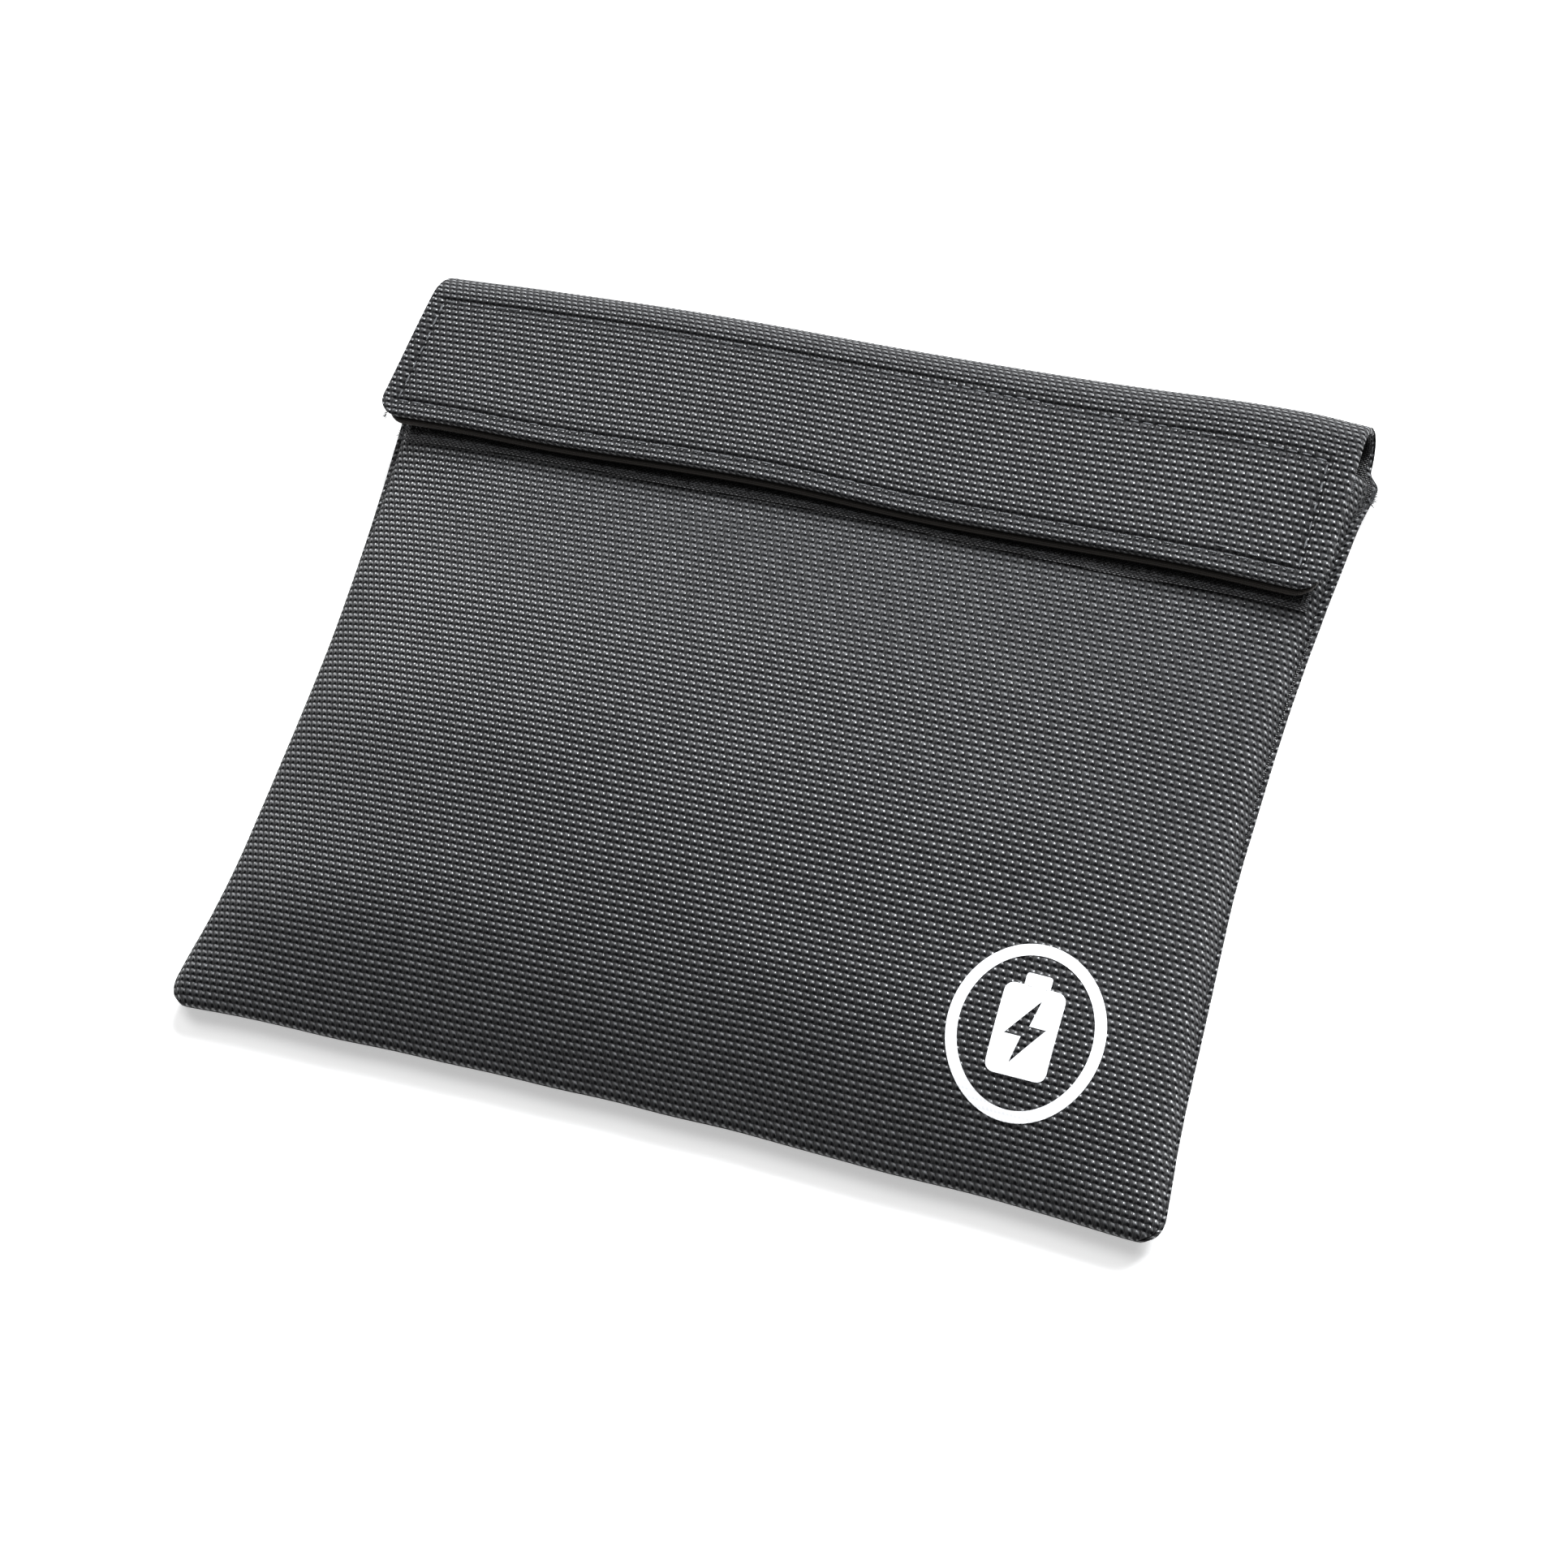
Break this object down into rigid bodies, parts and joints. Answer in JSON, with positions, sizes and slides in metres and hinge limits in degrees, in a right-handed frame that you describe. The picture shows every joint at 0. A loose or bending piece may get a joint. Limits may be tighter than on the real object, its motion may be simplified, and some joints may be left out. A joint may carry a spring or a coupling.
{
  "type": "lipo safe bag",
  "caption": "Flat turned pouch of heavy woven cloth with a fold-over flap closed by hook and loop tape, for storing and charging batteries.",
  "frame": {"origin": "on the resting plane, under the middle of the closed bag lying on its back", "axes": "+X along the mouth to the right, +Y from the closed bottom to the fold, +Z out of the front panel"},
  "size_m": [0.2294, 0.184, 0.0212],
  "materials": {
    "outer_cloth": "heavy plain weave with a soft sheen",
    "lining": "thin smooth coated glass cloth",
    "hook_and_loop": "woven tape with loops or hooks",
    "thread": "twisted polyester sewing thread",
    "print": "thin white transfer print, following the weave"
  },
  "bodies": {
    "pouch": {"front_panel": "outer_cloth", "back_panel": "outer_cloth", "front_lining": "lining", "back_lining": "lining", "mouth_hem": "outer_cloth", "mouth_hem_stitching": "thread", "loop_tape_base": "hook_and_loop", "loop_pile": "hook_and_loop", "loop_tape_stitching": "thread", "badge_print": "print", "left_seam_allowance": "outer_cloth", "right_seam_allowance": "outer_cloth", "bottom_seam_allowance": "outer_cloth", "left_seam_thread": "thread", "right_seam_thread": "thread", "bottom_seam_thread": "thread", "seam_end_tacks": "thread"},
    "fold": {"fold_band": "outer_cloth", "fold_lining": "lining"},
    "flap": {"flap_cover": "outer_cloth", "flap_turning": "outer_cloth", "flap_lining": "lining", "hook_tape": "hook_and_loop", "flap_stitching": "thread"}
  },
  "joints": [
    {"name": "fold_hinge", "type": "hinge", "parent": "pouch", "child": "fold", "pos_m": [0, 0.09054, 0.00146], "axis": [-1, 0, 0], "range_deg": [0, 90]},
    {"name": "flap_hinge", "type": "hinge", "parent": "fold", "child": "flap", "pos_m": [0, 0.09054, 0.01214], "axis": [-1, 0, 0], "range_deg": [0, 90]}
  ],
  "couplings": [
    {"joint": "flap_hinge", "follows": "fold_hinge", "ratio": 1}
  ]
}
